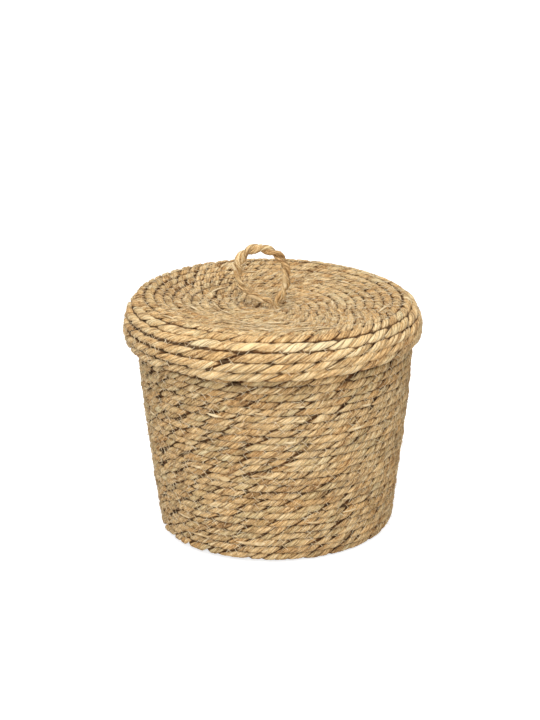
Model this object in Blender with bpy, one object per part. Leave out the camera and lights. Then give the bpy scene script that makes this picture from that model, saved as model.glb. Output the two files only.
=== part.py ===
"""Coiled basket of twisted seagrass rope, with a lift-off lid and a rope loop handle.

Each coil is one rope laid round and round. Every round runs level and steps over to the next one
in the last or third quarter of its turn, so the rounds nest with the same gap all the way.
Metres, +Z up, origin at the middle of the bottom face.
"""
import math

import bpy

OBJECT_NAME = "coiled_rope_basket"

# Driving dimensions.
GAP = 0.0003                    # between neighbouring rounds and pieces
BOTTOM_RADIUS = 0.1007          # outside of the wall, extended down to the floor
SHOULDER_RADIUS = 0.1207        # outside of the wall just under the lid
MOUTH_RADIUS = 0.1178           # outside of the rounds that the lid slips over
BELLY = 0.0022                  # how far the wall swells half way up
CORNER_RADIUS = 0.008           # rounding between bottom and wall
WALL_ROUNDS = 31
WALL_PITCH = 0.00649            # height of one round of the wall
BASE_ROUNDS = 13
LID_ROUNDS = 14
LID_PITCH = 0.0078
LID_EDGE_RADIUS = 0.1130        # centre of the outermost round of the lid's top
LID_EDGE_HEIGHT = 0.2045
LID_DISH = 0.0100               # how far the middle of the lid sinks
RIM_PITCH = 0.0085
RIM_ROWS = (                    # radius and height of each rim round, top to bottom
    (0.1218, 0.2005),
    (0.1246, 0.1920),
    (0.1254, 0.1835),
    (0.1241, 0.1750),
)
PIVOT_HEIGHT = 0.2035           # the loop handle bends here, just above the lid's middle
STRAND_OFFSET = 0.00182         # from the loop's centre line to the middle of a strand
STRAND_RADIUS = 0.00166
STRAND_LAY = 0.024              # length of one full twist of the handle rope
LEG_RADIUS = 0.0026
LEG_SPACING = 0.0030            # from the middle of the hole to the middle of a leg
KNOT_HEIGHT = 0.1850
KNOT_SIZE = 0.0021
KNOT_ROPE_RADIUS = 0.0019
TAIL_RADIUS = 0.0017

# The handle's loop seen from the front, x and height above the pivot, left foot to right foot.
LOOP_ROUTE = (
    (-0.0039, 0.0000), (-0.0120, 0.0034), (-0.0215, 0.0082), (-0.0276, 0.0150),
    (-0.0300, 0.0245), (-0.0292, 0.0340), (-0.0254, 0.0418), (-0.0188, 0.0462),
    (-0.0102, 0.0470), (-0.0016, 0.0452), (0.0052, 0.0410), (0.0098, 0.0348),
    (0.0120, 0.0274), (0.0122, 0.0190), (0.0104, 0.0110), (0.0068, 0.0046),
    (0.0039, 0.0000),
)

HEXAGON = math.sqrt(3.0) / 2.0  # half height of a six-sided rope with a side radius of 1
WALL_SIDES = 20                 # straight runs in one round of the wall and the rim
DISC_SIDES = 16                 # straight runs in one round of the bottom and the lid's top
STEP_TURN = 0.25                # part of a turn in which a round steps over to the next
END_GAP_TURN = 0.0016           # keeps the bottom's rope clear of the wall's first face

WALL_ROPE = (WALL_PITCH - GAP) / 2.0 / HEXAGON
RIM_ROPE = (RIM_PITCH - GAP) / 2.0 / HEXAGON
LID_ROPE = (LID_PITCH * math.cos(math.pi / DISC_SIDES) - GAP) / 2.0


def clear_scene():
    for thing in list(bpy.data.objects):
        bpy.data.objects.remove(thing, do_unlink=True)


def make_collection(name):
    collection = bpy.data.collections.new(name)
    bpy.context.scene.collection.children.link(collection)
    return collection


def make_material(name, colour, roughness):
    material = bpy.data.materials.new(name)
    material.use_nodes = True
    shader = material.node_tree.nodes["Principled BSDF"]
    shader.inputs["Base Color"].default_value = (*colour, 1.0)
    shader.inputs["Roughness"].default_value = roughness
    shader.inputs["Metallic"].default_value = 0.0
    material.diffuse_color = (*colour, 1.0)
    return material


def make_parent(name, height, collection, parent=None):
    """Empty on a joint's axis; the pieces that move with the joint are its children."""
    empty = bpy.data.objects.new(name, None)
    empty.location = (0.0, 0.0, height - (parent.location.z if parent else 0.0))
    empty.parent = parent
    collection.objects.link(empty)
    return empty


def make_rope(name, points, radius, material, collection, parent=None, closed=False, upright=True):
    """Rope along points (x, y, z, scale), given in the scene's own coordinates."""
    base = parent.matrix_world.translation if parent else None
    curve = bpy.data.curves.new(name, "CURVE")
    curve.dimensions = "3D"
    curve.twist_mode = "Z_UP" if upright else "MINIMUM"
    curve.bevel_depth = radius
    curve.bevel_resolution = 1
    curve.use_fill_caps = not closed
    curve.render_resolution_u = 0
    spline = curve.splines.new("POLY")
    spline.points.add(len(points) - 1)
    for slot, (x, y, z, scale) in zip(spline.points, points):
        if base:
            x, y, z = x - base.x, y - base.y, z - base.z
        slot.co = (x, y, z, 1.0)
        slot.radius = scale
    spline.use_cyclic_u = closed
    curve.materials.append(material)
    rope = bpy.data.objects.new(name, curve)
    rope.parent = parent
    collection.objects.link(rope)
    return rope


def eased(value):
    value = min(max(value, 0.0), 1.0)
    return value * value * (3.0 - 2.0 * value)


def stepped(turn, step_start):
    """Row number at a turn: level for most of the round, then over to the next row."""
    whole = math.floor(turn + 1e-9)
    return whole + eased((turn - whole - step_start) / STEP_TURN)


def coil_point(turn, radius, height, scale=1.0):
    """The coils climb clockwise seen from above, and start at +X."""
    angle = -2.0 * math.pi * turn
    return (radius * math.cos(angle), radius * math.sin(angle), height, scale)


def tapered(turn, row, next_row, rope, share):
    """Rope end squeezed thin against the far side of its row as the next round takes its place."""
    scale = max(1.0 - share * (1.0 + GAP / rope), 0.12)
    across = (row[0] - next_row[0], row[1] - next_row[1])
    length = math.hypot(*across)
    shift = rope * (1.0 - scale) / length
    return coil_point(turn, row[0] + across[0] * shift, row[1] + across[1] * shift, scale)


def wall_row(number):
    """Centre radius and height of a round of the wall, counted from the floor."""
    height = WALL_ROPE * HEXAGON + WALL_PITCH * number
    share = height / 0.1708
    outside = BOTTOM_RADIUS + (SHOULDER_RADIUS - BOTTOM_RADIUS) * share
    outside += BELLY * math.sin(math.pi * min(share, 1.0))
    drop = max(CORNER_RADIUS - height, 0.0)
    outside -= CORNER_RADIUS - math.sqrt(CORNER_RADIUS ** 2 - drop ** 2)
    outside += (MOUTH_RADIUS - outside) * eased((number - 24.0) / 2.0)
    return outside - WALL_ROPE, height


def build_wall(collection, material):
    steps = []
    for index in range((WALL_ROUNDS - 1) * WALL_SIDES + WALL_SIDES // 2 + 1):
        turn = index / WALL_SIDES
        steps.append(coil_point(turn, *wall_row(stepped(turn, 0.5))))
    last = WALL_ROUNDS - 1
    for index in range(1, 5):
        turn = last + 0.5 + index / WALL_SIDES
        share = eased(index / (STEP_TURN * WALL_SIDES))
        steps.append(tapered(turn, wall_row(last), wall_row(last - 1), WALL_ROPE * HEXAGON, share))
    make_rope("wall_coil", steps, WALL_ROPE, material, collection)


def build_base(collection, material):
    first_wall_radius = wall_row(0)[0]
    clear = (first_wall_radius - WALL_ROPE) * math.cos(math.pi / WALL_SIDES) - GAP
    pitch = clear / (BASE_ROUNDS + 0.5)
    rope = (pitch * math.cos(math.pi / DISC_SIDES) - GAP) / 2.0
    steps = []
    for index in range(DISC_SIDES, (BASE_ROUNDS + 1) * DISC_SIDES):
        turn = index / DISC_SIDES
        steps.append(coil_point(turn, pitch * stepped(turn, 0.75), rope * HEXAGON))
    steps.append(coil_point(BASE_ROUNDS + 1 - END_GAP_TURN, pitch * (BASE_ROUNDS + 1), rope * HEXAGON))
    make_rope("base_coil", steps, rope, material, collection)


def lid_row(number):
    """Rounds of the lid's top, counted from the hole; the middle is dished."""
    radius = LID_EDGE_RADIUS - LID_PITCH * (LID_ROUNDS - 1 - number)
    flat = LID_EDGE_RADIUS - LID_PITCH
    return radius, LID_EDGE_HEIGHT - LID_DISH * (1.0 - min(radius / flat, 1.0) ** 2)


def build_lid_top(collection, material, parent):
    last = LID_ROUNDS - 1
    steps = []
    for index in range(last * DISC_SIDES + 3 * DISC_SIDES // 4 + 1):
        turn = index / DISC_SIDES
        steps.append(coil_point(turn, *lid_row(stepped(turn, 0.75))))
    for index in range(1, 4):
        turn = last + 0.75 + index / DISC_SIDES
        share = eased(index / (STEP_TURN * DISC_SIDES))
        steps.append(tapered(turn, lid_row(last), lid_row(last - 1), LID_ROPE, share))
    make_rope("lid_coil", steps, LID_ROPE, material, collection, parent)


def rim_row(number):
    lower = min(int(number), len(RIM_ROWS) - 2)
    share = number - lower
    above, below = RIM_ROWS[lower], RIM_ROWS[lower + 1]
    return tuple(start + (end - start) * share for start, end in zip(above, below))


def build_rim(collection, material, parent):
    last = len(RIM_ROWS) - 1
    half = RIM_ROPE * HEXAGON
    steps = []
    for index in range(-4, 0):
        share = 1.0 - eased((index + STEP_TURN * WALL_SIDES) / (STEP_TURN * WALL_SIDES))
        steps.append(tapered(index / WALL_SIDES, rim_row(0), rim_row(1), half, share))
    for index in range(last * WALL_SIDES + 3 * WALL_SIDES // 4 + 1):
        turn = index / WALL_SIDES
        steps.append(coil_point(turn, *rim_row(stepped(turn, 0.75))))
    for index in range(1, 5):
        turn = last + 0.75 + index / WALL_SIDES
        share = eased(index / (STEP_TURN * WALL_SIDES))
        steps.append(tapered(turn, rim_row(last), rim_row(last - 1), half, share))
    make_rope("rim_coil", steps, RIM_ROPE, material, collection, parent)


def smooth_route(corners, spacing):
    """Points at even distances along a smooth curve through the corners."""
    padded = (corners[0],) + tuple(corners) + (corners[-1],)
    fine = []
    for before, start, end, after in zip(padded, padded[1:], padded[2:], padded[3:]):
        for tick in range(16):
            t = tick / 16.0
            fine.append(tuple(
                0.5 * (2.0 * b + (c - a) * t + (2.0 * a - 5.0 * b + 4.0 * c - d) * t * t
                       + (3.0 * b - a - 3.0 * c + d) * t ** 3)
                for a, b, c, d in zip(before, start, end, after)))
    fine.append(tuple(corners[-1]))
    lengths = [0.0]
    for start, end in zip(fine, fine[1:]):
        lengths.append(lengths[-1] + math.dist(start, end))
    count = round(lengths[-1] / spacing)
    route, place = [], 0
    for index in range(count + 1):
        target = lengths[-1] * index / count
        while place < len(fine) - 2 and lengths[place + 1] < target:
            place += 1
        share = (target - lengths[place]) / (lengths[place + 1] - lengths[place])
        route.append(tuple(a + (b - a) * share for a, b in zip(fine[place], fine[place + 1])))
    return route, lengths[-1]


def build_handle(collection, materials, parent):
    """Two strands twisted round the loop's centre line."""
    route, length = smooth_route(LOOP_ROUTE, 0.0031)
    last = len(route) - 1
    for side, (name, material) in enumerate(zip(("handle_strand_a", "handle_strand_b"), materials)):
        steps = []
        for index, (x, z) in enumerate(route):
            before, after = route[max(index - 1, 0)], route[min(index + 1, last)]
            run = math.dist(before, after)
            across_x, across_z = (after[1] - before[1]) / run, (before[0] - after[0]) / run
            twist = 2.0 * math.pi * length * index / last / STRAND_LAY + math.pi * side
            out, deep = STRAND_OFFSET * math.cos(twist), STRAND_OFFSET * math.sin(twist)
            steps.append((x + across_x * out, deep, PIVOT_HEIGHT + z + across_z * out, 1.0))
        make_rope(name, steps, STRAND_RADIUS, material, collection, parent, upright=False)


def build_handle_roots(collection, material, parent):
    """Legs through the hole in the lid, the knot under it and the two tails."""
    knot_top = KNOT_HEIGHT + KNOT_SIZE + KNOT_ROPE_RADIUS
    leg_top = PIVOT_HEIGHT - (STRAND_OFFSET + STRAND_RADIUS) - GAP
    for name, side in (("handle_leg_left", -1.0), ("handle_leg_right", 1.0)):
        x = side * LEG_SPACING
        steps = [(x, 0.0, knot_top + GAP, 0.8), (x, 0.0, knot_top + 0.002, 1.0),
                 (x, 0.0, leg_top - 0.001, 1.0), (x, 0.0, leg_top, 0.9)]
        make_rope(name, steps, LEG_RADIUS, material, collection, parent, upright=False)
    steps = []
    for index in range(42):
        turn = 2.0 * math.pi * index / 42.0
        x = KNOT_SIZE * (math.sin(turn) + 2.0 * math.sin(2.0 * turn))
        y = KNOT_SIZE * (math.cos(turn) - 2.0 * math.cos(2.0 * turn))
        steps.append((x, y, KNOT_HEIGHT - KNOT_SIZE * math.sin(3.0 * turn), 1.0))
    make_rope("handle_knot", steps, KNOT_ROPE_RADIUS, material, collection, parent,
              closed=True, upright=False)
    knot_bottom = KNOT_HEIGHT - KNOT_SIZE - KNOT_ROPE_RADIUS
    for name, side in (("handle_tail_left", -1.0), ("handle_tail_right", 1.0)):
        steps = []
        for index in range(6):
            share = index / 5.0
            x = side * (0.0024 + 0.0050 * share * share)
            steps.append((x, 0.0015 * side * share, knot_bottom - GAP - 0.014 * share, 1.0 - 0.3 * share))
        make_rope(name, steps, TAIL_RADIUS, material, collection, parent, upright=False)


def main():
    clear_scene()
    parts = make_collection(OBJECT_NAME)
    straw = make_material("straw_rope", (0.52, 0.35, 0.17), 0.72)
    base_straw = make_material("bottom_straw_rope", (0.45, 0.30, 0.15), 0.76)
    lid_straw = make_material("lid_straw_rope", (0.56, 0.39, 0.20), 0.70)
    rim_straw = make_material("rim_straw_rope", (0.61, 0.43, 0.22), 0.66)
    strand_one = make_material("handle_strand_tan", (0.55, 0.36, 0.16), 0.62)
    strand_two = make_material("handle_strand_pale", (0.62, 0.45, 0.23), 0.60)
    build_base(parts, base_straw)
    build_wall(parts, straw)
    lid = make_parent("lid_axis", RIM_ROWS[-1][1], parts)
    pivot = make_parent("handle_axis", PIVOT_HEIGHT, parts, lid)
    bpy.context.view_layer.update()
    build_lid_top(parts, lid_straw, lid)
    build_rim(parts, rim_straw, lid)
    build_handle_roots(parts, strand_one, lid)
    build_handle(parts, (strand_one, strand_two), pivot)


main()
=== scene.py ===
import math
import random

import bmesh
import bpy
from mathutils import Matrix, Vector, noise


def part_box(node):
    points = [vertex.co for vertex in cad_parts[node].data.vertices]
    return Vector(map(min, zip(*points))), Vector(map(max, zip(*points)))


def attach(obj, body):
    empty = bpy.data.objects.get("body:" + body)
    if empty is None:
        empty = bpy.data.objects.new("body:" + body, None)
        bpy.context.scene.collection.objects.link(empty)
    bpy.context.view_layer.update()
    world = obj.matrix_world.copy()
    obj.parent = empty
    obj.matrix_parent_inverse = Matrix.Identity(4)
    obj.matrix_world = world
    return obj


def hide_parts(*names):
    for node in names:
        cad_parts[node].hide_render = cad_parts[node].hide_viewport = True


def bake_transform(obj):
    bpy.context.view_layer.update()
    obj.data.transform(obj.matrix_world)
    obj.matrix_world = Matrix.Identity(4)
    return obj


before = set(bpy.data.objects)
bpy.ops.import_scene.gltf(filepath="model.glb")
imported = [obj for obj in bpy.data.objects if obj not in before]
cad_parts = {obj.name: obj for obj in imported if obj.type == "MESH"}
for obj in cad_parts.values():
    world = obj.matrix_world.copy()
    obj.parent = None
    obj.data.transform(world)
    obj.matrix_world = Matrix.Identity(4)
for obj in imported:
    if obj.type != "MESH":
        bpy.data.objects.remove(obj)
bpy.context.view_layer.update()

wallLow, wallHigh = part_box("wall_coil")
lidLow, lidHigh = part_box("lid_coil")
knotLow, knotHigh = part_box("handle_knot")
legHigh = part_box("handle_leg_left")[1]
tailLow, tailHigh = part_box("handle_tail_left")


# ---- camera and light

view = {
    "place": (0.0, -2.36, 0.9163),
    "down": 18.0,        # degrees below the horizon
    "yaw": 0.085,
    "roll": -0.98,
    "lens": 141.85,
}

studio = {
    "sky": 0.72,
    "aim": (0.0, 0.0, 0.1),
    "lamps": (              # name, place, size and power
        ("keyLamp", (-0.12, -0.9, 2.1), 1.0, 26.5),
        ("fillLamp", (-0.2, -2.0, 0.7), 1.2, 15.0),
    ),
    "floor": (0.70, 0.70, 0.70),
    "floorGlow": 0.75,      # seen by the camera only, so that the floor stays white
    "floorSize": 40.0,
    "floorHeight": -0.0010,
}


def makeCamera():
    data = bpy.data.cameras.new("camera")
    data.lens = view["lens"]
    data.clip_end = 100.0
    camera = bpy.data.objects.new("camera", data)
    turn = Matrix.Rotation(math.radians(view["yaw"]), 4, "Z")
    turn = turn @ Matrix.Rotation(math.radians(90.0 - view["down"]), 4, "X")
    turn = turn @ Matrix.Rotation(math.radians(view["roll"]), 4, "Z")
    camera.matrix_world = Matrix.Translation(view["place"]) @ turn
    bpy.context.scene.collection.objects.link(camera)
    bpy.context.scene.camera = camera


def makeLamp(name, place, size, power):
    data = bpy.data.lights.new(name, "AREA")
    data.shape = "DISK"
    data.size = size
    data.energy = power
    lamp = bpy.data.objects.new(name, data)
    lamp.location = place
    toAim = Vector(studio["aim"]) - Vector(place)
    lamp.rotation_euler = toAim.to_track_quat("-Z", "Y").to_euler()
    bpy.context.scene.collection.objects.link(lamp)


def makeStudio():
    world = bpy.data.worlds.new("softbox")
    world.use_nodes = True
    sky = world.node_tree.nodes["Background"]
    sky.inputs["Color"].default_value = (1.0, 1.0, 1.0, 1.0)
    sky.inputs["Strength"].default_value = studio["sky"]
    bpy.context.scene.world = world
    for lamp in studio["lamps"]:
        makeLamp(*lamp)
    bm = bmesh.new()
    bmesh.ops.create_grid(bm, x_segments=1, y_segments=1, size=studio["floorSize"] / 2.0)
    mesh = bpy.data.meshes.new("floor")
    bm.to_mesh(mesh)
    bm.free()
    mesh.transform(Matrix.Translation((0.0, 0.0, studio["floorHeight"])))
    floor = bpy.data.objects.new("floor", mesh)
    bpy.context.scene.collection.objects.link(floor)
    material = bpy.data.materials.new("paleFloor")
    material.use_nodes = True
    tree = material.node_tree
    shader = tree.nodes["Principled BSDF"]
    shader.inputs["Base Color"].default_value = (*studio["floor"], 1.0)
    shader.inputs["Roughness"].default_value = 0.9
    shader.inputs["Specular IOR Level"].default_value = 0.1
    shader.inputs["Emission Color"].default_value = (1.0, 1.0, 1.0, 1.0)
    glow = addNode(tree, "ShaderNodeMath", operation="MULTIPLY")
    glow.inputs[1].default_value = studio["floorGlow"]
    join(tree, addNode(tree, "ShaderNodeLightPath").outputs["Is Camera Ray"], glow.inputs[0])
    join(tree, glow.outputs[0], shader.inputs["Emission Strength"])
    mesh.materials.append(material)
    bpy.context.scene.view_settings.view_transform = "Standard"


# ---- seagrass, as a finish

grass = {
    "blades": 3.0,          # blades side by side on one strand
    "ramp": (
        (0.00, (0.170, 0.085, 0.035)),
        (0.24, (0.420, 0.245, 0.105)),
        (0.48, (0.625, 0.415, 0.200)),
        (0.70, (0.745, 0.545, 0.300)),
        (1.00, (0.850, 0.705, 0.450)),
    ),
    "orange": (1.03, 0.88, 0.68, 1.0),
    "green": (0.80, 0.88, 0.90, 1.0),
    # painted shade colour: the thin lines between blades, the shade where strands meet and the shade
    # between rounds are drawn towards it
    "darkLineAndShade": (0.20, 0.13, 0.09, 1.0),
    "middle": 0.56,         # place on the ramp of an even blade
    "leaf": 0.24,           # how much each thing shifts a blade along the ramp
    "blade": 0.28,
    "slow": 0.55,
    "streak": 1.55,
    "grain": 1.15,
    "fold": (0.0, 0.085, 0.32),       # thin dark line between blades: from, to, darkest
    "crease": (0.10, 0.25, 0.05),     # painted shade where the two strands meet
    "valley": (0.30, 0.60, 0.05),     # and painted shade between the rounds
    "patches": 42.0,        # scale and weight of the slow change over the whole basket
    "patchWeight": 0.42,
    "bump": 0.0006,
}


def addNode(tree, kind, **values):
    node = tree.nodes.new(kind)
    for name, value in values.items():
        setattr(node, name, value)
    return node


def join(tree, source, target):
    tree.links.new(source, target)


def maths(tree, operation, *terms, clamp=False):
    node = addNode(tree, "ShaderNodeMath", operation=operation, use_clamp=clamp)
    for socket, term in zip(node.inputs, terms):
        if isinstance(term, (int, float)):
            socket.default_value = term
        else:
            join(tree, term, socket)
    return node.outputs[0]


def spread(tree, value, low, high, newLow=0.0, newHigh=1.0):
    node = addNode(tree, "ShaderNodeMapRange", interpolation_type="SMOOTHSTEP")
    join(tree, value, node.inputs["Value"])
    limits = {"From Min": low, "From Max": high, "To Min": newLow, "To Max": newHigh}
    for name, number in limits.items():
        node.inputs[name].default_value = number
    return node.outputs["Result"]


def place2d(tree, across, up):
    node = addNode(tree, "ShaderNodeCombineXYZ")
    for socket, term in zip(node.inputs, (across, up)):
        join(tree, term, socket)
    return node.outputs[0]


def mixColour(tree, blend, amount, first, second):
    node = addNode(tree, "ShaderNodeMix", data_type="RGBA", blend_type=blend)
    for socket, term in ((node.inputs[0], amount), (node.inputs[6], first), (node.inputs[7], second)):
        if isinstance(term, (int, float, tuple)):
            socket.default_value = term
        else:
            join(tree, term, socket)
    return node.outputs[2]


def noiseOn(tree, along, alongScale, around, aroundScale, detail, roughness):
    node = addNode(tree, "ShaderNodeTexNoise", noise_dimensions="2D")
    spot = place2d(tree, maths(tree, "MULTIPLY", along, alongScale),
                   maths(tree, "MULTIPLY", around, aroundScale))
    join(tree, spot, node.inputs["Vector"])
    node.inputs["Scale"].default_value = 1.0
    node.inputs["Detail"].default_value = detail
    node.inputs["Roughness"].default_value = roughness
    return node.outputs["Fac"]


def makeGrassGroup():
    tree = bpy.data.node_groups.new("seagrassBlades", "ShaderNodeTree")
    for name, kind, start in (
            ("Strand", "NodeSocketVector", None),
            ("Depth", "NodeSocketFloat", 1.0),
            ("Tone", "NodeSocketFloat", 0.0),
            ("Contrast", "NodeSocketFloat", 1.0),
            ("Green", "NodeSocketFloat", 0.5),
            ("Tint", "NodeSocketColor", (1.0, 1.0, 1.0, 1.0))):
        socket = tree.interface.new_socket(name, in_out="INPUT", socket_type=kind)
        if start is not None:
            socket.default_value = start
    for name, kind in (
            ("Color", "NodeSocketColor"),
            ("Roughness", "NodeSocketFloat"),
            ("Height", "NodeSocketFloat")):
        tree.interface.new_socket(name, in_out="OUTPUT", socket_type=kind)
    given = addNode(tree, "NodeGroupInput")
    made = addNode(tree, "NodeGroupOutput")
    parts = addNode(tree, "ShaderNodeSeparateXYZ")
    join(tree, given.outputs["Strand"], parts.inputs[0])
    along, around = parts.outputs[0], parts.outputs[1]

    leaf = addNode(tree, "ShaderNodeTexWhiteNoise", noise_dimensions="1D")    # one value a bump
    join(tree, maths(tree, "FLOOR", along), leaf.inputs["W"])
    leafParts = addNode(tree, "ShaderNodeSeparateXYZ")
    join(tree, leaf.outputs["Color"], leafParts.inputs[0])

    side = maths(tree, "MULTIPLY", around, grass["blades"])
    lean = maths(tree, "MULTIPLY_ADD", along, 0.55, side)
    blade = addNode(tree, "ShaderNodeTexVoronoi", voronoi_dimensions="2D", feature="F1")
    edge = addNode(tree, "ShaderNodeTexVoronoi", voronoi_dimensions="2D", feature="DISTANCE_TO_EDGE")
    strip = place2d(tree, maths(tree, "MULTIPLY", along, 0.42), lean)
    for node in (blade, edge):
        join(tree, strip, node.inputs["Vector"])
        node.inputs["Scale"].default_value = 1.35
    bladeParts = addNode(tree, "ShaderNodeSeparateXYZ")
    join(tree, blade.outputs["Color"], bladeParts.inputs[0])

    slow = noiseOn(tree, along, 0.3, around, 1.0, 1.0, 0.5)
    streak = noiseOn(tree, along, 2.4, around, 9.0, 4.0, 0.72)
    grain = noiseOn(tree, along, 20.0, around, 14.0, 2.0, 0.7)

    tone = 0.0
    for value, weight in (
            (leafParts.outputs[0], grass["leaf"]),
            (bladeParts.outputs[0], grass["blade"]),
            (slow, grass["slow"]),
            (streak, grass["streak"]),
            (grain, grass["grain"])):
        tone = maths(tree, "MULTIPLY_ADD", maths(tree, "SUBTRACT", value, 0.5), weight, tone)
    middle = maths(tree, "ADD", given.outputs["Tone"], grass["middle"])
    tone = maths(tree, "MULTIPLY_ADD", tone, given.outputs["Contrast"], middle)
    ramp = addNode(tree, "ShaderNodeValToRGB")
    join(tree, tone, ramp.inputs[0])
    stops = ramp.color_ramp.elements
    while len(stops) < len(grass["ramp"]):
        stops.new(0.5)
    for stop, (spot, colour) in zip(stops, grass["ramp"]):
        stop.position = spot
        stop.color = (*colour, 1.0)

    orange = spread(tree, leafParts.outputs[1], 0.62, 0.95, 0.0, 0.42)
    colour = mixColour(tree, "MULTIPLY", orange, ramp.outputs[0], grass["orange"])
    green = maths(tree, "ADD", leafParts.outputs[2], maths(tree, "MULTIPLY", slow, 0.4))
    green = maths(tree, "MULTIPLY", spread(tree, green, 0.80, 1.10), given.outputs["Green"])
    colour = mixColour(tree, "MULTIPLY", green, colour, grass["green"])

    fold = spread(tree, edge.outputs["Distance"], *grass["fold"])
    crease = maths(tree, "ABSOLUTE", maths(tree, "MULTIPLY_ADD", around, 2.0, -1.0))
    crease = spread(tree, maths(tree, "SUBTRACT", 1.0, crease), *grass["crease"])
    valley = spread(tree, given.outputs["Depth"], *grass["valley"])
    # painted shade: darker where the two strands meet and between the rounds, and along the thin lines
    # between blades
    shade = maths(tree, "MULTIPLY", maths(tree, "MULTIPLY", fold, crease), valley)
    dark = mixColour(tree, "MULTIPLY", 1.0, colour, grass["darkLineAndShade"])
    colour = mixColour(tree, "MIX", shade, dark, colour)
    colour = mixColour(tree, "MULTIPLY", 1.0, colour, given.outputs["Tint"])
    join(tree, colour, made.inputs["Color"])
    join(tree, spread(tree, streak, 0.25, 0.75, 0.78, 0.56), made.inputs["Roughness"])
    height = maths(tree, "MULTIPLY_ADD", streak, 0.5, maths(tree, "MULTIPLY", fold, 0.9))
    join(tree, maths(tree, "MULTIPLY_ADD", grain, 0.2, height), made.inputs["Height"])
    return tree


grassGroup = makeGrassGroup()


def makeGrass(name, tone=0.0, contrast=1.0, green=0.5, tint=(0.98, 0.95, 0.88), paleAbove=None):
    material = bpy.data.materials.new(name)
    material.use_nodes = True
    tree = material.node_tree
    shader = tree.nodes["Principled BSDF"]
    twist = addNode(tree, "ShaderNodeUVMap", uv_map="strand")
    blades = addNode(tree, "ShaderNodeGroup", node_tree=grassGroup)
    join(tree, twist.outputs[0], blades.inputs["Strand"])
    depth = addNode(tree, "ShaderNodeAttribute", attribute_name="depth")
    join(tree, depth.outputs["Fac"], blades.inputs["Depth"])
    spots = addNode(tree, "ShaderNodeTexCoord")
    patches = addNode(tree, "ShaderNodeTexNoise")
    patches.inputs["Scale"].default_value = grass["patches"]
    patches.inputs["Detail"].default_value = 2.0
    join(tree, spots.outputs["Object"], patches.inputs["Vector"])
    weight = grass["patchWeight"]
    shift = maths(tree, "MULTIPLY_ADD", patches.outputs["Fac"], weight, tone - weight / 2.0)
    if paleAbove:                   # paler above this height
        spot = addNode(tree, "ShaderNodeSeparateXYZ")
        join(tree, spots.outputs["Object"], spot.inputs[0])
        paler = spread(tree, spot.outputs[2], paleAbove - 0.003, paleAbove + 0.002, 0.0, 0.12)
        shift = maths(tree, "ADD", shift, paler)
    join(tree, shift, blades.inputs["Tone"])
    blades.inputs["Contrast"].default_value = contrast
    blades.inputs["Green"].default_value = green
    blades.inputs["Tint"].default_value = (*tint, 1.0)
    bump = addNode(tree, "ShaderNodeBump")
    bump.inputs["Strength"].default_value = 0.9
    bump.inputs["Distance"].default_value = grass["bump"]
    join(tree, blades.outputs["Height"], bump.inputs["Height"])
    join(tree, blades.outputs["Color"], shader.inputs["Base Color"])
    join(tree, blades.outputs["Roughness"], shader.inputs["Roughness"])
    join(tree, bump.outputs[0], shader.inputs["Normal"])
    shader.inputs["Specular IOR Level"].default_value = 0.20
    shader.inputs["Sheen Weight"].default_value = 0.02
    shader.inputs["Sheen Roughness"].default_value = 0.45
    shader.inputs["Sheen Tint"].default_value = (1.0, 0.9, 0.72, 1.0)
    return material


def makeFibre(name, low, high):
    material = bpy.data.materials.new(name)
    material.use_nodes = True
    tree = material.node_tree
    shader = tree.nodes["Principled BSDF"]
    spots = addNode(tree, "ShaderNodeTexCoord")
    tones = addNode(tree, "ShaderNodeTexNoise")
    tones.inputs["Scale"].default_value = 130.0
    join(tree, spots.outputs["Object"], tones.inputs["Vector"])
    amount = spread(tree, tones.outputs["Fac"], 0.35, 0.65)
    colour = mixColour(tree, "MIX", amount, (*low, 1.0), (*high, 1.0))
    join(tree, colour, shader.inputs["Base Color"])
    fuzz = addNode(tree, "ShaderNodeBump")
    fuzz.inputs["Strength"].default_value = 0.3
    fuzz.inputs["Distance"].default_value = 0.0001
    join(tree, tones.outputs["Fac"], fuzz.inputs["Height"])
    join(tree, fuzz.outputs[0], shader.inputs["Normal"])
    shader.inputs["Roughness"].default_value = 0.75
    shader.inputs["Specular IOR Level"].default_value = 0.15
    return material


# ---- rope

strand = {                  # section of one strand, in a rope of radius 1
    "offset": 0.40,
    "deep": 0.62,
    "wide": 0.85,
    "arcPoints": 9,
    "grooves": 0.020,
}
looseStrand = {"offset": 0.50, "deep": 0.52, "wide": 0.60, "arcPoints": 9, "grooves": 0.035}


def makeSection(name, corners):
    curve = bpy.data.curves.new(name, "CURVE")
    curve.dimensions = "2D"
    spline = curve.splines.new("POLY")
    spline.points.add(len(corners) - 1)
    for point, (x, y) in zip(spline.points, corners):
        point.co = (x, y, 0.0, 1.0)
    spline.use_cyclic_u = True
    section = bpy.data.objects.new(name, curve)
    bpy.context.scene.collection.objects.link(section)
    return section


def strandCorners(shape):
    reach = math.acos(-min(shape["offset"] / shape["deep"], 0.97))
    corners = [(max(shape["offset"] - shape["deep"], 0.0), 0.0)]
    for index in range(shape["arcPoints"]):
        share = index / (shape["arcPoints"] - 1)
        angle = reach * (1.0 - 2.0 * share)
        size = 1.0 + shape["grooves"] * math.cos(6.0 * math.pi * share)
        corners.append((shape["offset"] + shape["deep"] * size * math.cos(angle),
                        shape["wide"] * size * math.sin(angle)))
    return corners


def roundCorners(count):
    angles = [2.0 * math.pi * index / count for index in range(count)]
    return [(math.cos(angle), -math.sin(angle)) for angle in angles]


def bladeCorners():
    upper = [(-0.04, 0.75), (0.02, 1.0), (0.10, 0.72)]
    lower = [(0.10, -0.72), (0.02, -1.0), (-0.04, -0.75)]
    return [(-0.10, 0.0), *upper, (0.16, 0.0), *lower]


strandSection = makeSection("strandSection", strandCorners(strand))
looseSection = makeSection("looseSection", strandCorners(looseStrand))
sectionSize = strand["arcPoints"] + 1
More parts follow.
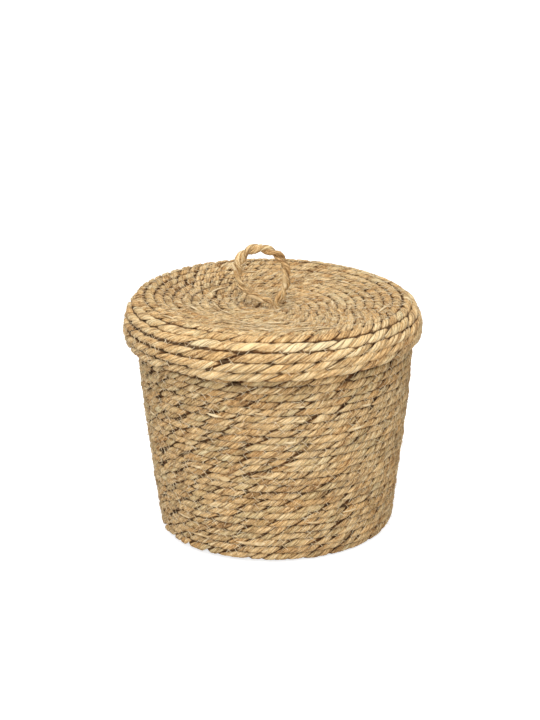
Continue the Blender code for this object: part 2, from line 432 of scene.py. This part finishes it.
# section of the dark cords that paint shade into the gaps between rounds
gapShadeSection = makeSection("gapShadeSection", roundCorners(6))
threadSection = makeSection("threadSection", roundCorners(3))
bladeSection = makeSection("bladeSection", bladeCorners())


def eased(value):
    value = min(max(value, 0.0), 1.0)
    return value * value * (3.0 - 2.0 * value)


def wave(*place):
    return noise.noise(Vector((*place, 0.0, 0.0)[:3]))


def waver(spot, height, wide, tall, amount, shift=(0.0, 0.0, 0.0)):
    return amount * wave(spot.x * wide + shift[0], spot.y * wide + shift[1], height * tall + shift[2])


def curveToMesh(curve, name):
    holder = bpy.data.objects.new(name, curve)
    bpy.context.scene.collection.objects.link(holder)
    shown = holder.evaluated_get(bpy.context.evaluated_depsgraph_get())
    mesh = bpy.data.meshes.new_from_object(shown)
    bpy.data.objects.remove(holder)
    bpy.data.curves.remove(curve)
    mesh.name = name
    return mesh


def closeEnds(mesh):
    bm = bmesh.new()
    bm.from_mesh(mesh)
    openEdges = [edge for edge in bm.edges if edge.is_boundary]
    bmesh.ops.holes_fill(bm, edges=openEdges, sides=0)
    bm.to_mesh(mesh)
    bm.free()


def finishPiece(mesh, name, material, body, replaced=()):
    mesh.materials.clear()
    mesh.materials.append(material)
    piece = bpy.data.objects.new(name, mesh)
    bpy.context.scene.collection.objects.link(piece)
    if body:
        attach(piece, body)
    if replaced:
        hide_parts(*replaced)
    return piece


def measured(places, radii):
    route, travelled = [], 0.0
    for index, (place, radius) in enumerate(zip(places, radii)):
        if index:
            travelled += (place - places[index - 1]).length
        route.append((place, radius, travelled))
    return route


def outOfWall(place):
    return Vector((place.x, place.y, -0.01)).normalized()


def outOfLid(place):               # upwards, and outwards too over the last round
    over = eased((math.hypot(place.x, place.y) - lid["flatTo"]) / lid["bendOver"])
    out = Vector((place.x, place.y, 0.0)).normalized() * over
    return (out + Vector((0.0, 0.0, 1.0 - 0.3 * over))).normalized()


def outOfRim(place):               # outwards, and upwards too on the top round
    over = eased((place.z - rim["bendFrom"]) / rim["bendOver"])
    out = Vector((place.x, place.y, 0.0)).normalized()
    return (out + Vector((0.0, 0.0, 1.1 * over))).normalized()


def markDepth(mesh, route, sides, outward):
    depth = []                     # 1 on the inner and outer skin, 0 between two rounds
    spots = [0.0] * (3 * len(mesh.vertices))
    mesh.vertices.foreach_get("co", spots)
    place = 0
    for _ in sides:
        for centre, radius, _ in route:
            out = outward(centre) if outward else None
            for corner in range(sectionSize):
                if outward:
                    dx, dy, dz = (spots[place + axis] - centre[axis] for axis in range(3))
                    depth.append(abs(dx * out.x + dy * out.y + dz * out.z) / radius)
                else:
                    depth.append(1.0)
                place += 3
    attribute = mesh.attributes.new("depth", "FLOAT", "POINT")
    attribute.data.foreach_set("value", depth)


def newCurve(name, section, level):
    curve = bpy.data.curves.new(name, "CURVE")
    curve.dimensions = "3D"
    curve.twist_mode = "Z_UP" if level else "MINIMUM"
    curve.bevel_mode = "OBJECT"
    curve.bevel_object = section
    return curve


def twistRope(name, route, rope, sides=(0, 1), level=True, outward=outOfWall, section=strandSection):
    curve = newCurve(name, section, level)
    rings = []
    for side in sides:
        spline = curve.splines.new("POLY")
        spline.points.add(len(route) - 1)
        seed = rope["seed"] + 11.3 * side
        for point, (place, radius, travelled) in zip(spline.points, route):
            turns = travelled / rope["lay"] + 0.5 * side
            turns += rope["wander"] * wave(travelled * 28.0, seed)
            bump = math.sin(math.pi * (turns % 1.0)) ** 2
            fat = noise.cell(Vector((math.floor(turns) + 0.5, seed, 0.5))) * bump
            fat = 1.0 + rope["uneven"] * (fat + 0.7 * wave(travelled * 55.0, seed, 4.0))
            point.co = (*place, 1.0)
            point.tilt = -2.0 * math.pi * ((turns + rope["facing"]) % 1.0)
            point.radius = radius * fat
            rings.append(turns + 2000.0 * side)          # keeps the two strands' noise apart
    mesh = curveToMesh(curve, name)
    corners = [0] * len(mesh.loops)
    mesh.loops.foreach_get("vertex_index", corners)
    flat = [0.0] * (2 * len(corners))
    layer = mesh.uv_layers[0]
    layer.name = "strand"
    layer.data.foreach_get("uv", flat)
    for index, corner in enumerate(corners):
        flat[2 * index] = rings[corner // sectionSize]
    layer.data.foreach_set("uv", flat)
    markDepth(mesh, route, sides, outward)
    closeEnds(mesh)
    mesh.shade_smooth()
    mesh.set_sharp_from_angle(angle=math.radians(65.0))
    return mesh


gapShade = {"share": 0.46, "step": 0.0040}      # painted shade: a dark cord between rounds, so the gaps read dark; size as a share of the rope
gapShadeLook = makeFibre("paintedGapShade", (0.060, 0.034, 0.016), (0.140, 0.085, 0.042))


def gapShadeRun(firstAt, nextAt, rope, start, end):
    route = coilRoute(lambda turn: (firstAt(turn) + nextAt(turn)) / 2.0,
                      lambda turn: rope, start, end, gapShade["step"])
    return [(place, radius * gapShade["share"], 0.0) for place, radius, _ in route]


# ---- basket: bottom and wall, one rope from the middle of the bottom to the mouth

body = {
    "rounds": 31,
    "baseRounds": 14,
    "bottomRadius": 0.1007,
    "shoulderRadius": wallHigh.x + 0.0009,
    "shoulderHeight": 0.1708,
    "mouthRadius": 0.1178,
    "belly": 0.0022,
    "corner": 0.0078,
    "uneven": 0.0030,
    "leftIn": 0.0018,
    "lean": 0.030,          # rounds fall to the right at the front, most half way up
    "slow": {"wide": 11.0, "tall": 9.0, "amount": 0.0016},
    "row": {"wide": 26.0, "tall": 150.0, "amount": 0.0007, "shift": (5.0, 0.0, 0.0)},
    "loose": {"wide": 75.0, "tall": 400.0, "amount": 0.0003, "shift": (0.0, 9.0, 0.0)},
    "rise": {"wide": 17.0, "tall": 120.0, "amount": 0.0009, "shift": (0.0, 3.0, 0.0)},
    "firstRound": 0.477,    # height of the lowest round's middle, in rounds
    "footIn": 0.0014,
    "mouthFrom": 24.0,      # the wall steps in over two rounds, to go up into the lid
    "mouthOver": 2.0,
    "baseRope": 0.00335,
    "baseStart": 0.35,
    "baseStep": 0.0024,
    "step": 0.0021,
    "pieces": ("wallRopeLower", "wallRopeMiddle", "wallRopeUpper"),
}
body["pitch"] = (wallHigh.z - wallLow.z) / (body["rounds"] - 0.046)
body["ropeRadius"] = body["pitch"] * 0.582
body["last"] = body["rounds"] - 0.5
wallRope = {"lay": 0.0238, "wander": 0.30, "uneven": 0.130, "seed": 3.1, "facing": 0.0}
baseRope = {"lay": 0.0290, "wander": 0.15, "uneven": 0.070, "seed": 8.6, "facing": 0.25}


def wallPlace(turn):
    height = body["pitch"] * (turn + body["firstRound"])
    share = height / body["shoulderHeight"]
    outside = body["bottomRadius"] + (body["shoulderRadius"] - body["bottomRadius"]) * share
    outside += body["belly"] * math.sin(math.pi * min(share, 1.0))
    right = math.cos(2.0 * math.pi * turn)
    corner = body["corner"] + body["uneven"] * right          # rounder on the right
    drop = min(max(corner - height, 0.0), corner)
    outside -= corner - math.sqrt(corner ** 2 - drop ** 2) + body["footIn"] * right * drop / corner
    outside += (body["mouthRadius"] - outside) * eased((turn - body["mouthFrom"]) / body["mouthOver"])
    return outside - body["pitch"] * 0.5, height


def basePlace(turn):
    edge, height = wallPlace(0.0)
    return edge * turn / body["baseRounds"], height


def onCoil(turn, radius, height):
    angle = -2.0 * math.pi * turn
    return Vector((radius * math.cos(angle), radius * math.sin(angle), height))


def wallPoint(turn):
    radius, height = wallPlace(turn)
    spot = onCoil(turn, radius, height)
    middle = math.sin(math.pi * min(height / wallHigh.z, 1.0))       # 1 half way up
    loose = waver(spot, height, **body["loose"])
    bulges = waver(spot, height, **body["slow"]) + waver(spot, height, **body["row"]) + loose
    radius -= body["leftIn"] * max(-math.cos(2.0 * math.pi * turn), 0.0) * middle
    radius += bulges * eased(height / 0.03)
    spot = onCoil(turn, radius, height)
    spot.z -= body["lean"] * spot.x * middle
    spot.z += (waver(spot, height, **body["rise"]) + loose) * eased(height / 0.02)
    return spot


def coilRoute(pointAt, radiusAt, start, end, step):
    places, radii = [], []
    turn = start
    while turn < end:
        place = pointAt(turn)
        places.append(place)
        radii.append(radiusAt(turn))
        turn += step / (2.0 * math.pi * max(math.hypot(place.x, place.y), 0.004))
    places.append(pointAt(end))
    radii.append(radiusAt(end))
    return measured(places, radii)


def wallRadius(turn):
    return body["ropeRadius"] * (1.0 - 0.75 * eased((turn - body["last"] + 0.3) / 0.3))


def baseRadius(turn):
    return body["baseRope"] * (0.35 + 0.65 * eased(turn / 0.8))


def makeBody():
    wallLook = makeGrass("wallGrass", tone=-0.02, contrast=1.0, green=0.55)
    baseLook = makeGrass("baseGrass", tone=-0.08, contrast=1.0, green=0.6, tint=(0.92, 0.88, 0.84))
    route = coilRoute(wallPoint, wallRadius, 0.0, body["last"], body["step"])
    size = len(route) // len(body["pieces"]) + 1
    for number, name in enumerate(body["pieces"]):
        part = route[number * size:(number + 1) * size + 1]
        mesh = twistRope(name, part, wallRope)
        finishPiece(mesh, name, wallLook, "basket", ("wall_coil",))
    # painted shade: a dark cord in the gaps between the wall's rounds
    runs = [gapShadeRun(wallPoint, lambda turn: wallPoint(turn + 1.0),
                       body["ropeRadius"], 0.1, body["last"] - 1.1)]
    runsPiece("wallGapShade", runs, gapShadeSection, gapShadeLook, "basket", level=True)
    route = coilRoute(lambda turn: onCoil(turn, *basePlace(turn)), baseRadius,
                      body["baseStart"], body["baseRounds"], body["baseStep"])
    mesh = twistRope("bottomRope", route, baseRope, outward=lambda place: Vector((0.0, 0.0, -1.0)))
    finishPiece(mesh, "bottomRope", baseLook, "basket", ("base_coil",))
    print("basket rope done")


# ---- lid: dished top and turned-down rim

lid = {
    "rounds": 14,
    "pitch": 0.0080,
    "edgeRadius": 0.1160,
    "edgeHeight": lidHigh.z - 0.0032,
    "dish": 0.0100,
    "shoulder": 0.0007,     # the last round rolls over the edge
    "tilt": 0.033,          # the left side sits higher
    "rise": {"wide": 16.0, "tall": 0.9, "amount": 0.0009, "shift": (0.0, 0.0, 7.0)},
    "innerPitch": 0.0068,   # of the rounds about the legs
    "lastDrop": 0.004,
    "flatTo": 0.110,
    "bendOver": 0.012,
    "ropeRadius": 0.00430,
    "innerRope": 0.0026,
    "step": 0.0022,
    "stepOver": 0.30,       # each round steps outwards between the front and the left
    "stepFrom": 0.25,
    "start": -1.62,         # closes round the loop's legs
    "end": 13.42,
}
rim = {
    "route": (              # turn and height; five thin rounds at the left, four thick ones at the front
        (-0.72, 0.2024), (-0.50, 0.2012), (-0.25, 0.1992), (0.25, 0.1984),
        (0.50, 0.1943), (1.25, 0.1908), (1.50, 0.1878), (2.25, 0.1831),
        (2.50, 0.1815), (3.25, 0.1752), (3.50, 0.1748), (3.90, 0.1760),
    ),
    "bulge": (              # height and radius
        (0.1740, 0.1240), (0.1790, 0.1252), (0.1850, 0.1254),
        (0.1915, 0.1246), (0.1984, 0.1218), (0.2012, 0.1188),
    ),
    "thickness": (          # place in the round and radius of the rope
        (0.00, 0.00460), (0.335, 0.00465), (0.375, 0.00415),
        (0.62, 0.00425), (0.80, 0.00440), (1.00, 0.00460),
    ),
    "swell": {"wide": 18.0, "tall": 150.0, "amount": 0.0006},
    "rise": {"wide": 15.0, "tall": 110.0, "amount": 0.0009},
    "leftOut": 0.0016,      # the lower rounds stand out at the left
    "leftBelow": 0.192,
    "leftOver": 0.008,
    "tiltFrom": 0.172,      # the lid's tilt fades in from the bottom round up
    "tiltOver": 0.028,
    "bendFrom": 0.186,
    "bendOver": 0.014,
    "startTaper": 0.10,
    "endTaper": 0.15,
    # the rim's colour is paler above this height
    "paleFrom": 0.1955,
    "ropeRadius": 0.0041,
    "step": 0.0022,
}
rim["start"], rim["end"] = rim["route"][0][0], rim["route"][-1][0]
lidRope = {"lay": 0.0250, "wander": 0.18, "uneven": 0.075, "seed": 15.7, "facing": 0.25}
rimRope = {"lay": 0.0400, "wander": 0.12, "uneven": 0.070, "seed": 22.4, "facing": 0.0}


def stepped(turn, share):
    whole = math.floor(turn + 1e-9)
    return whole + eased((turn - whole - (1.0 - share)) / share)


def lidPoint(turn):
    number = stepped(turn + 1.0 - lid["stepFrom"] - lid["stepOver"], lid["stepOver"])
    radius = lid["edgeRadius"] - lid["pitch"] * (lid["rounds"] - 1 - number)
    if number < 0.0:
        radius = lid["edgeRadius"] - lid["pitch"] * (lid["rounds"] - 1) + lid["innerPitch"] * number
    flat = lid["edgeRadius"] - lid["pitch"]
    height = lid["edgeHeight"] - lid["dish"] * (1.0 - min(radius / flat, 1.0) ** 2)
    height -= (lid["shoulder"] * eased(number - lid["rounds"] + 2.0)
               + lid["lastDrop"] * eased(number - lid["rounds"] + 1.0))
    spot = onCoil(turn, radius, height)
    spot.z -= lid["tilt"] * spot.x
    spot.z += waver(spot, number, **lid["rise"])
    return spot


def lidRadius(turn):
    thin = lid["innerRope"] + (lid["ropeRadius"] - lid["innerRope"]) * eased((turn + 1.0) / 1.6)
    return thin * (1.0 - 0.8 * eased((turn - lid["end"] + 0.10) / 0.10))


def between(stops, share):
    for (a, first), (b, second) in zip(stops, stops[1:]):
        if share <= b:
            return first + (second - first) * eased((share - a) / (b - a))
    return stops[-1][1]


def rimPoint(turn):
    height = between(rim["route"], turn)
    radius = between(rim["bulge"], height)
    radius += waver(onCoil(turn, radius, height), height, **rim["swell"])
    left = max(-math.cos(2.0 * math.pi * turn), 0.0)
    radius += rim["leftOut"] * left * eased((rim["leftBelow"] - height) / rim["leftOver"])
    spot = onCoil(turn, radius, height)
    spot.z += waver(spot, height, **rim["rise"])
    spot.z -= lid["tilt"] * spot.x * eased((height - rim["tiltFrom"]) / rim["tiltOver"])
    return spot


def rimRadius(turn):
    ends = (eased((turn - rim["start"]) / rim["startTaper"])
            * eased((rim["end"] - turn) / rim["endTaper"]))
    return between(rim["thickness"], turn % 1.0) * (0.2 + 0.8 * ends)


def makeLid():
    lidLook = makeGrass("lidGrass", tone=0.01, contrast=1.0, green=0.35)
    rimLook = makeGrass("rimGrass", tone=0.02, contrast=1.0, green=0.25,
                        paleAbove=rim["paleFrom"])
    route = coilRoute(lidPoint, lidRadius, lid["start"], lid["end"], lid["step"])
    mesh = twistRope("lidRope", route, lidRope, outward=outOfLid)
    finishPiece(mesh, "lidRope", lidLook, "lid", ("lid_coil",))
    route = coilRoute(rimPoint, rimRadius, rim["start"], rim["end"], rim["step"])
    mesh = twistRope("rimRope", route, rimRope, outward=outOfRim)
    finishPiece(mesh, "rimRope", rimLook, "lid", ("rim_coil",))
    ahead = lid["rounds"] - 1.0          # the rim's count starts this many rounds after the lid's
    # painted shade: dark cords in the gaps between the lid's and the rim's rounds
    runs = [gapShadeRun(lidPoint, lambda turn: lidPoint(turn + 1.0), lid["ropeRadius"],
                       -0.3, lid["end"] - 1.1),
            gapShadeRun(lidPoint, lambda turn: rimPoint(turn - ahead), lid["ropeRadius"],
                       rim["start"] + ahead + 0.1, lid["end"] - 0.1),
            gapShadeRun(rimPoint, lambda turn: rimPoint(turn + 1.0), rim["ropeRadius"],
                       rim["start"] + 0.1, rim["end"] - 1.1)]
    runsPiece("lidGapShade", runs, gapShadeSection, gapShadeLook, "lid", level=True)
    print("lid rope done")


# ---- loop handle

loop = {
    "pivot": legHigh.z + 0.0038,
    "bend": (legHigh.z + 0.0008, legHigh.z + 0.0078),     # heights between which the legs bend
    "corners": (            # x and height above the pivot, left foot to right foot
        (-0.0026, -0.0006), (-0.0120, 0.0034), (-0.0215, 0.0082), (-0.0276, 0.0150),
        (-0.0300, 0.0245), (-0.0292, 0.0340), (-0.0254, 0.0418), (-0.0188, 0.0462),
        (-0.0102, 0.0470), (-0.0016, 0.0452), (0.0052, 0.0410), (0.0098, 0.0348),
        (0.0120, 0.0274), (0.0122, 0.0190), (0.0104, 0.0110), (0.0068, 0.0046),
        (0.0026, -0.0006),
    ),
    "thickness": ((0.00, 0.0028), (0.12, 0.0025), (0.28, 0.0030), (0.40, 0.0045),
                  (0.55, 0.0044), (0.72, 0.0039), (0.86, 0.0032), (1.00, 0.0024)),
    "blades": (             # x and height along each loose blade, half width, distance in front
        (((-0.0353, 0.0355), (-0.0331, 0.0308), (-0.0305, 0.0252), (-0.0282, 0.0187)), 0.0015, -0.0010),
        (((-0.0225, 0.0065), (-0.0163, 0.0047), (-0.0074, -0.0005)), 0.0015, -0.0030),
        (((0.0095, 0.0250), (0.0104, 0.0178), (0.0110, 0.0115)), 0.0018, -0.0034),
        (((-0.0210, 0.0440), (-0.0150, 0.0488), (-0.0080, 0.0510)), 0.0013, 0.0002),
    ),
    "step": 0.0011,
    "footApart": 0.0028,    # half the distance between the legs
    "knotSteps": 48,
    "knotSize": 0.0021,
    "tailSteps": 14,
    "tailRadius": 0.0019,
}
loopRope = {"lay": 0.0260, "wander": 0.10, "uneven": 0.080, "seed": 31.9, "facing": 0.1}
knotRope = {"lay": 0.0180, "wander": 0.10, "uneven": 0.060, "seed": 37.2, "facing": 0.0}


def smoothRoute(corners, spacing, ticks=24):
    padded = [corners[0]] + list(corners) + [corners[-1]]
    fine = []
    for a, b, c, d in zip(padded, padded[1:], padded[2:], padded[3:]):
        for tick in range(ticks):
            share = tick / ticks
            fine.append(0.5 * (2.0 * b + (c - a) * share
                               + (2.0 * a - 5.0 * b + 4.0 * c - d) * share * share
                               + (3.0 * b - a - 3.0 * c + d) * share ** 3))
    fine.append(corners[-1])
    total = sum((b - a).length for a, b in zip(fine, fine[1:]))
    count = round(total / spacing)
    route, travelled, place = [fine[0]], 0.0, 0
    for index in range(1, count):
        target = total * index / count
        while travelled + (fine[place + 1] - fine[place]).length < target:
            travelled += (fine[place + 1] - fine[place]).length
            place += 1
        run = fine[place + 1] - fine[place]
        route.append(fine[place] + run * ((target - travelled) / run.length))
    route.append(fine[-1])
    return route


def makeHandle():
    tan = makeGrass("handleTan", tone=-0.05, contrast=1.25, green=0.1)
    pale = makeGrass("handlePale", tone=0.04, contrast=1.2, green=0.15)
    apart, halfWay = loop["footApart"], (knotHigh.z + loop["pivot"]) / 2.0
    corners = [Vector((-apart, 0.0, knotHigh.z)), Vector((-apart - 0.0001, 0.0, halfWay))]
    corners += [Vector((x, 0.0, loop["pivot"] + z)) for x, z in loop["corners"]]
    corners += [Vector((apart + 0.0001, 0.0, halfWay)), Vector((apart, 0.0, knotHigh.z))]
    places = smoothRoute(corners, loop["step"])
    last = len(places) - 1
    for index, place in enumerate(places):
        place.y += 0.0012 * math.sin(math.pi * index / last) * wave(index * 0.03, 5.0)
    radii = [between(loop["thickness"], index / last) for index in range(last + 1)]
    route = measured(places, radii)
    for side, (name, look, slot, replaced) in enumerate((
            ("loopStrandTan", tan, "handle_rope", ("handle_strand_a", "handle_leg_left")),
            ("loopStrandPale", pale, "handle_pale_rope", ("handle_strand_b", "handle_leg_right")))):
        mesh = twistRope(name, route, loopRope, sides=(side,), level=False, outward=None,
                         section=looseSection)
        piece = finishPiece(mesh, name, look, None, replaced)
        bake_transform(piece)
    knotMiddle = (knotLow.z + knotHigh.z) / 2.0
    size = loop["knotSize"]
    places = []
    for index in range(loop["knotSteps"] + 1):       # an overhand knot
        turn = 2.0 * math.pi * index / loop["knotSteps"]
        places.append(Vector((size * (math.sin(turn) + 2.0 * math.sin(2.0 * turn)),
                              size * (math.cos(turn) - 2.0 * math.cos(2.0 * turn)),
                              knotMiddle - size * math.sin(3.0 * turn))))
    route = measured(places, [size] * len(places))
    mesh = twistRope("loopKnot", route, knotRope, level=False, outward=None)
    finishPiece(mesh, "loopKnot", tan, "lid", ("handle_knot",))
    for name, node, side in (("loopTailLeft", "handle_tail_left", -1.0),
                             ("loopTailRight", "handle_tail_right", 1.0)):
        places, radii = [], []
        for index in range(loop["tailSteps"] + 1):
            share = index / loop["tailSteps"]
            places.append(Vector((side * (0.0024 + 0.0050 * share * share), 0.0015 * side * share,
                                  tailHigh.z + (tailLow.z - tailHigh.z) * share)))
            radii.append(loop["tailRadius"] * (1.0 - 0.35 * share))
        mesh = twistRope(name, measured(places, radii), knotRope, level=False, outward=None)
        finishPiece(mesh, name, tan, "lid", (node,))
    print("handle done")


# ---- sewing thread, loose fibres and blade ends

stitch = {
    "wallEvery": 0.0135,
    "lidEvery": 0.0150,
    "thread": 0.00026,
    "sunk": (0.70, 0.15),   # outwards and along the wall, as shares of the rope: the ends
    "over": (0.93, 0.38),   # where the thread bends over the rope
    "across": (0.72, 0.92), # how far out it crosses the gap
    "slant": (0.2, 0.6),
}
fuzz = {
    "wallHairs": 4200,
    "rimHairs": 650,
    "lidHairs": 1100,
    "hair": 0.00023,
    "steps": 4,
    "lift": (0.10, 0.55),
}
looseBlades = {
    "wall": 46,
    "lid": 42,
    "steps": 6,
    "slope": 0.12,
    "lift": 0.98,           # as a share of the rope
    "arch": 0.24,
    "big": ((11.315, 0.011, 0.0023), (2.275, 0.013, 0.0018)),     # turn, length, half width
}


def runsPiece(name, runs, section, material, body, level=False):
    curve = newCurve(name, section, level)
    for run in runs:
        spline = curve.splines.new("POLY")
        spline.points.add(len(run) - 1)
        for point, (place, size, tilt) in zip(spline.points, run):
            point.co = (*place, 1.0)
            point.radius = size
            point.tilt = tilt
    mesh = curveToMesh(curve, name)
    closeEnds(mesh)
    mesh.shade_smooth()
    return finishPiece(mesh, name, material, body)


def stitchRun(pointAt, start, end, every, rope, outwardAt, dice):
    runs = []
    turn = start
    (sunkOut, sunkUp), (overOut, overUp) = stitch["sunk"], stitch["over"]
    while turn < end:
        low = pointAt(turn)
        advance = every / (2.0 * math.pi * math.hypot(low.x, low.y))
        slant = advance * dice.uniform(*stitch["slant"]) * dice.choice((-1.0, 1.0))
        high = pointAt(turn + 1.0 + slant)
        out = outwardAt(low)
        up = (high - low).normalized()
        gap = (low + high) / 2.0
        size = stitch["thread"] * dice.uniform(0.75, 1.25)
        run = [low + out * rope * sunkOut + up * rope * sunkUp,
               low + out * rope * overOut + up * rope * overUp,
               gap + out * rope * dice.uniform(*stitch["across"]),
               high + out * rope * overOut - up * rope * overUp,
               high + out * rope * sunkOut - up * rope * sunkUp]
        runs.append([(place, size, 0.0) for place in run])
        turn += advance * dice.uniform(0.75, 1.25) * 0.5
    return runs


def hairRun(place, out, dice, reach, size):
    along = Vector((0.0, 0.0, 1.0)).cross(out)
    if along.length < 0.1:
        angle = dice.uniform(0.0, 2.0 * math.pi)
        along = Vector((math.cos(angle), math.sin(angle), 0.0))
    along.normalize()
    across = out.cross(along)
    heading = (along * dice.choice((-1.0, 1.0)) + across * dice.uniform(-0.9, 0.9)
               + out * dice.uniform(*fuzz["lift"])).normalized()
    bend = (out * dice.uniform(-0.5, 0.25) + across * dice.uniform(-0.5, 0.5)) * 0.5
    run = []
    for index in range(fuzz["steps"] + 1):
        share = index / fuzz["steps"]
        run.append((place + heading * reach * share + bend * reach * share * share,
                    size * (1.0 - 0.6 * share), 0.0))
    return run


def bladeRun(pointAt, turn, length, outwardAt, rope, width, dice, tilt):
    span = length / (2.0 * math.pi * math.hypot(*pointAt(turn)[:2]))
    slope = dice.uniform(-looseBlades["slope"], looseBlades["slope"])
    run = []
    for index in range(looseBlades["steps"] + 1):
        share = index / looseBlades["steps"]
        place = pointAt(turn + span * (share - 0.5))
        out = outwardAt(place)
        side = out.cross(Vector((-place.y, place.x, 0.0)).normalized())
        lift = looseBlades["lift"] + looseBlades["arch"] * math.sin(math.pi * share)
        place = place + out * rope * lift + side * slope * length * (share - 0.5)
        taper = 0.12 + 0.88 * math.sin(math.pi * min(share * 1.15, 1.0)) ** 0.7
        run.append((place, width * taper, tilt))
    return run


def loopBlade(corners, width, forward):
    places = smoothRoute([Vector((x, forward, loop["pivot"] + z)) for x, z in corners], 0.0016)
    run, last = [], len(places) - 1
    for index, place in enumerate(places):
        taper = 0.15 + 0.85 * math.sin(math.pi * index / last) ** 0.7
        run.append((place, width * taper, 0.0))
    return run


def makeBlades():
    dice = random.Random(77)
    pale = makeFibre("paleBlade", (0.58, 0.41, 0.21), (0.80, 0.64, 0.39))
    rope = body["ropeRadius"]
    runs = [bladeRun(wallPoint, turn, length, outOfWall, rope, width, dice, 0.0)
            for turn, length, width in looseBlades["big"]]
    for index in range(looseBlades["wall"]):
        turn, length = dice.uniform(0.5, body["rounds"] - 7.0), dice.uniform(0.008, 0.018)
        width = dice.uniform(0.0006, 0.0013)
        runs.append(bladeRun(wallPoint, turn, length, outOfWall, rope, width, dice, 0.0))
    runsPiece("wallBlades", runs, bladeSection, pale, "basket", level=True)
    runs = []
    for index in range(looseBlades["lid"]):
        if index % 2:              # every other one lies on the front of the lid
            turn = dice.randint(7, 11) + dice.uniform(0.17, 0.33)
        else:
            turn = dice.uniform(2.0, 12.5)
        length, width = dice.uniform(0.012, 0.026), dice.uniform(0.0008, 0.0016)
        runs.append(bladeRun(lidPoint, turn, length, outOfLid, lid["ropeRadius"], width, dice,
                             math.pi / 2.0))
    runsPiece("lidBlades", runs, bladeSection, pale, "lid", level=True)
    runs = [loopBlade(*blade) for blade in loop["blades"]]
    runsPiece("loopBlades", runs, bladeSection, pale, "handle", level=True)
    print("loose blades done")


def makeThreads():
    dice = random.Random(41)
    thread = makeFibre("sewingThread", (0.55, 0.40, 0.22), (0.84, 0.70, 0.47))
    fibre = makeFibre("looseFibre", (0.42, 0.26, 0.12), (0.92, 0.78, 0.52))
    runs = stitchRun(wallPoint, 0.3, body["rounds"] - 2.0, stitch["wallEvery"],
                     body["ropeRadius"], outOfWall, dice)
    runsPiece("wallStitches", runs, threadSection, thread, "basket")
    runs = stitchRun(lidPoint, 0.4, lid["end"] - 1.3, stitch["lidEvery"],
                     lid["ropeRadius"], outOfLid, dice)
    runs += stitchRun(rimPoint, -0.4, 2.8, stitch["lidEvery"], rim["ropeRadius"], outOfRim, dice)
    runsPiece("lidStitches", runs, threadSection, thread, "lid")
    runs = []
    for index in range(fuzz["wallHairs"]):
        turn = dice.uniform(0.4, body["rounds"] - 6.0)
        place = (wallPoint(turn) + wallPoint(turn + 1.0)) / 2.0
        out = outOfWall(place)
        place += out * body["ropeRadius"] * 0.5
        reach, size = dice.uniform(0.003, 0.012), fuzz["hair"] * dice.uniform(0.7, 1.5)
        runs.append(hairRun(place, out, dice, reach, size))
    runsPiece("wallFuzz", runs, threadSection, fibre, "basket")
    runs = []
    for index in range(fuzz["rimHairs"]):
        turn = dice.uniform(0.0, 3.7)
        place = rimPoint(turn)
        out = outOfWall(place)
        place += out * 0.0032
        reach, size = dice.uniform(0.003, 0.009), fuzz["hair"] * dice.uniform(0.7, 1.3)
        runs.append(hairRun(place, out, dice, reach, size))
    for index in range(fuzz["lidHairs"]):
        turn = dice.uniform(0.0, lid["end"] - 0.2)
        up = Vector((0.0, 0.0, 1.0))
        place = lidPoint(turn) + up * (lid["ropeRadius"] * 0.8)
        reach, size = dice.uniform(0.004, 0.012), fuzz["hair"] * dice.uniform(0.7, 1.3)
        runs.append(hairRun(place, up, dice, reach, size))
    runsPiece("lidFuzz", runs, threadSection, fibre, "lid")
    print("threads and fibres done")


makeCamera()
makeStudio()
makeBody()
makeLid()
makeHandle()
makeBlades()
makeThreads()
for section in (strandSection, looseSection, gapShadeSection, threadSection, bladeSection):
    bpy.data.objects.remove(section)
